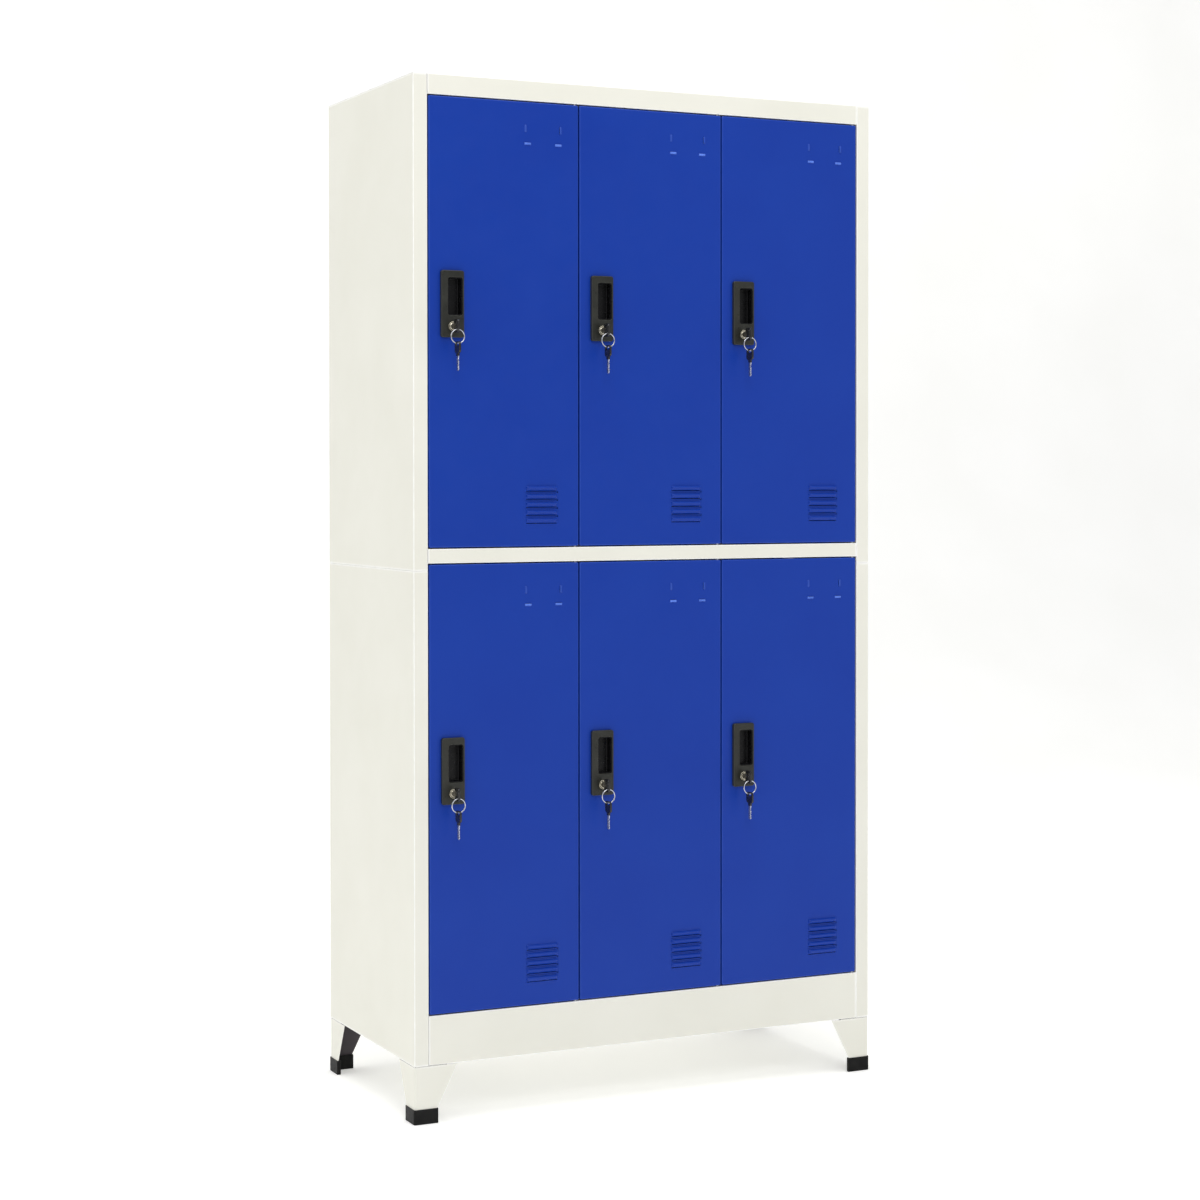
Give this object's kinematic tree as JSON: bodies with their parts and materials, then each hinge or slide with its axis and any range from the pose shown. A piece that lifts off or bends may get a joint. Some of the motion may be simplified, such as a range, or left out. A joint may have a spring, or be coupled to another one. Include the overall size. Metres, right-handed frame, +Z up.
{
  "type": "school locker",
  "caption": "Free-standing steel school locker: tiers of vented right-hung doors, each with a keyed cam lock in a recessed pull, on tapered legs with foot caps.",
  "frame": {"origin": "on the floor, at the middle of the object's footprint", "axes": "+Z up; +Y to the back, so the doors face -Y; +X to the right of someone facing the doors"},
  "size_m": [0.903, 0.493, 1.8],
  "materials": {
    "carcass_paint": "satin cream powder coat",
    "door_paint": "satin royal blue powder coat",
    "foot_plastic": "matte moulded black",
    "lock_plastic": "satin moulded black",
    "lock_chrome": "bright nickel plate",
    "key_plastic": "black moulded bow on a plated steel blade",
    "ring_steel": "plated spring wire"
  },
  "bodies": {
    "carcass": {"top_panel": "carcass_paint", "mid_shelf": "carcass_paint", "bottom_panel": "carcass_paint", "lower_back": "carcass_paint", "upper_back": "carcass_paint", "lower_left_side": "carcass_paint", "lower_right_side": "carcass_paint", "upper_left_side": "carcass_paint", "upper_right_side": "carcass_paint", "lower_left_divider": "carcass_paint", "lower_right_divider": "carcass_paint", "upper_left_divider": "carcass_paint", "upper_right_divider": "carcass_paint", "front_left_leg": "carcass_paint", "front_right_leg": "carcass_paint", "back_left_leg": "carcass_paint", "back_right_leg": "carcass_paint", "front_left_foot_cap": "foot_plastic", "front_right_foot_cap": "foot_plastic", "back_left_foot_cap": "foot_plastic", "back_right_foot_cap": "foot_plastic"},
    "lower_left_door": {"lower_left_door": "door_paint", "lower_left_lock_housing": "lock_plastic"},
    "lower_left_lock": {"lower_left_lock_plug": "lock_chrome"},
    "lower_left_key": {"lower_left_key": "key_plastic"},
    "lower_left_key_ring": {"lower_left_key_ring": "ring_steel"},
    "lower_left_spare_key": {"lower_left_spare_key": "key_plastic"},
    "lower_middle_door": {"lower_middle_door": "door_paint", "lower_middle_lock_housing": "lock_plastic"},
    "lower_middle_lock": {"lower_middle_lock_plug": "lock_chrome"},
    "lower_middle_key": {"lower_middle_key": "key_plastic"},
    "lower_middle_key_ring": {"lower_middle_key_ring": "ring_steel"},
    "lower_middle_spare_key": {"lower_middle_spare_key": "key_plastic"},
    "lower_right_door": {"lower_right_door": "door_paint", "lower_right_lock_housing": "lock_plastic"},
    "lower_right_lock": {"lower_right_lock_plug": "lock_chrome"},
    "lower_right_key": {"lower_right_key": "key_plastic"},
    "lower_right_key_ring": {"lower_right_key_ring": "ring_steel"},
    "lower_right_spare_key": {"lower_right_spare_key": "key_plastic"},
    "upper_left_door": {"upper_left_door": "door_paint", "upper_left_lock_housing": "lock_plastic"},
    "upper_left_lock": {"upper_left_lock_plug": "lock_chrome"},
    "upper_left_key": {"upper_left_key": "key_plastic"},
    "upper_left_key_ring": {"upper_left_key_ring": "ring_steel"},
    "upper_left_spare_key": {"upper_left_spare_key": "key_plastic"},
    "upper_middle_door": {"upper_middle_door": "door_paint", "upper_middle_lock_housing": "lock_plastic"},
    "upper_middle_lock": {"upper_middle_lock_plug": "lock_chrome"},
    "upper_middle_key": {"upper_middle_key": "key_plastic"},
    "upper_middle_key_ring": {"upper_middle_key_ring": "ring_steel"},
    "upper_middle_spare_key": {"upper_middle_spare_key": "key_plastic"},
    "upper_right_door": {"upper_right_door": "door_paint", "upper_right_lock_housing": "lock_plastic"},
    "upper_right_lock": {"upper_right_lock_plug": "lock_chrome"},
    "upper_right_key": {"upper_right_key": "key_plastic"},
    "upper_right_key_ring": {"upper_right_key_ring": "ring_steel"},
    "upper_right_spare_key": {"upper_right_spare_key": "key_plastic"}
  },
  "joints": [
    {"name": "lower_left_door_hinge", "type": "hinge", "parent": "carcass", "child": "lower_left_door", "pos_m": [-0.148, -0.201, 0.187], "axis": [0, 0, 1], "range_deg": [0, 110]},
    {"name": "lower_left_lock_turn", "type": "hinge", "parent": "lower_left_door", "child": "lower_left_lock", "pos_m": [-0.3805, -0.205, 0.5665], "axis": [0, 1, 0], "range_deg": [0, 90]},
    {"name": "lower_left_key_pull", "type": "slide", "parent": "lower_left_lock", "child": "lower_left_key", "axis": [0, -1, 0], "range_m": [0, 0.026]},
    {"name": "lower_left_ring_swing", "type": "hinge", "parent": "lower_left_key", "child": "lower_left_key_ring", "pos_m": [-0.3805, -0.235, 0.5602], "axis": [1, 0, 0], "range_deg": [-75, 12]},
    {"name": "lower_left_spare_key_swing", "type": "hinge", "parent": "lower_left_key_ring", "child": "lower_left_spare_key", "pos_m": [-0.3805, -0.235, 0.5362], "axis": [1, 0, 0], "range_deg": [-75, 10]},
    {"name": "lower_middle_door_hinge", "type": "hinge", "parent": "carcass", "child": "lower_middle_door", "pos_m": [0.134, -0.201, 0.187], "axis": [0, 0, 1], "range_deg": [0, 110]},
    {"name": "lower_middle_lock_turn", "type": "hinge", "parent": "lower_middle_door", "child": "lower_middle_lock", "pos_m": [-0.0985, -0.205, 0.5665], "axis": [0, 1, 0], "range_deg": [0, 90]},
    {"name": "lower_middle_key_pull", "type": "slide", "parent": "lower_middle_lock", "child": "lower_middle_key", "axis": [0, -1, 0], "range_m": [0, 0.026]},
    {"name": "lower_middle_ring_swing", "type": "hinge", "parent": "lower_middle_key", "child": "lower_middle_key_ring", "pos_m": [-0.0985, -0.235, 0.5602], "axis": [1, 0, 0], "range_deg": [-75, 12]},
    {"name": "lower_middle_spare_key_swing", "type": "hinge", "parent": "lower_middle_key_ring", "child": "lower_middle_spare_key", "pos_m": [-0.0985, -0.235, 0.5362], "axis": [1, 0, 0], "range_deg": [-75, 10]},
    {"name": "lower_right_door_hinge", "type": "hinge", "parent": "carcass", "child": "lower_right_door", "pos_m": [0.416, -0.201, 0.187], "axis": [0, 0, 1], "range_deg": [0, 110]},
    {"name": "lower_right_lock_turn", "type": "hinge", "parent": "lower_right_door", "child": "lower_right_lock", "pos_m": [0.1835, -0.205, 0.5665], "axis": [0, 1, 0], "range_deg": [0, 90]},
    {"name": "lower_right_key_pull", "type": "slide", "parent": "lower_right_lock", "child": "lower_right_key", "axis": [0, -1, 0], "range_m": [0, 0.026]},
    {"name": "lower_right_ring_swing", "type": "hinge", "parent": "lower_right_key", "child": "lower_right_key_ring", "pos_m": [0.1835, -0.235, 0.5602], "axis": [1, 0, 0], "range_deg": [-75, 12]},
    {"name": "lower_right_spare_key_swing", "type": "hinge", "parent": "lower_right_key_ring", "child": "lower_right_spare_key", "pos_m": [0.1835, -0.235, 0.5362], "axis": [1, 0, 0], "range_deg": [-75, 10]},
    {"name": "upper_left_door_hinge", "type": "hinge", "parent": "carcass", "child": "upper_left_door", "pos_m": [-0.148, -0.201, 0.9895], "axis": [0, 0, 1], "range_deg": [0, 110]},
    {"name": "upper_left_lock_turn", "type": "hinge", "parent": "upper_left_door", "child": "upper_left_lock", "pos_m": [-0.3805, -0.205, 1.369], "axis": [0, 1, 0], "range_deg": [0, 90]},
    {"name": "upper_left_key_pull", "type": "slide", "parent": "upper_left_lock", "child": "upper_left_key", "axis": [0, -1, 0], "range_m": [0, 0.026]},
    {"name": "upper_left_ring_swing", "type": "hinge", "parent": "upper_left_key", "child": "upper_left_key_ring", "pos_m": [-0.3805, -0.235, 1.3627], "axis": [1, 0, 0], "range_deg": [-75, 12]},
    {"name": "upper_left_spare_key_swing", "type": "hinge", "parent": "upper_left_key_ring", "child": "upper_left_spare_key", "pos_m": [-0.3805, -0.235, 1.3387], "axis": [1, 0, 0], "range_deg": [-75, 10]},
    {"name": "upper_middle_door_hinge", "type": "hinge", "parent": "carcass", "child": "upper_middle_door", "pos_m": [0.134, -0.201, 0.9895], "axis": [0, 0, 1], "range_deg": [0, 110]},
    {"name": "upper_middle_lock_turn", "type": "hinge", "parent": "upper_middle_door", "child": "upper_middle_lock", "pos_m": [-0.0985, -0.205, 1.369], "axis": [0, 1, 0], "range_deg": [0, 90]},
    {"name": "upper_middle_key_pull", "type": "slide", "parent": "upper_middle_lock", "child": "upper_middle_key", "axis": [0, -1, 0], "range_m": [0, 0.026]},
    {"name": "upper_middle_ring_swing", "type": "hinge", "parent": "upper_middle_key", "child": "upper_middle_key_ring", "pos_m": [-0.0985, -0.235, 1.3627], "axis": [1, 0, 0], "range_deg": [-75, 12]},
    {"name": "upper_middle_spare_key_swing", "type": "hinge", "parent": "upper_middle_key_ring", "child": "upper_middle_spare_key", "pos_m": [-0.0985, -0.235, 1.3387], "axis": [1, 0, 0], "range_deg": [-75, 10]},
    {"name": "upper_right_door_hinge", "type": "hinge", "parent": "carcass", "child": "upper_right_door", "pos_m": [0.416, -0.201, 0.9895], "axis": [0, 0, 1], "range_deg": [0, 110]},
    {"name": "upper_right_lock_turn", "type": "hinge", "parent": "upper_right_door", "child": "upper_right_lock", "pos_m": [0.1835, -0.205, 1.369], "axis": [0, 1, 0], "range_deg": [0, 90]},
    {"name": "upper_right_key_pull", "type": "slide", "parent": "upper_right_lock", "child": "upper_right_key", "axis": [0, -1, 0], "range_m": [0, 0.026]},
    {"name": "upper_right_ring_swing", "type": "hinge", "parent": "upper_right_key", "child": "upper_right_key_ring", "pos_m": [0.1835, -0.235, 1.3627], "axis": [1, 0, 0], "range_deg": [-75, 12]},
    {"name": "upper_right_spare_key_swing", "type": "hinge", "parent": "upper_right_key_ring", "child": "upper_right_spare_key", "pos_m": [0.1835, -0.235, 1.3387], "axis": [1, 0, 0], "range_deg": [-75, 10]}
  ]
}
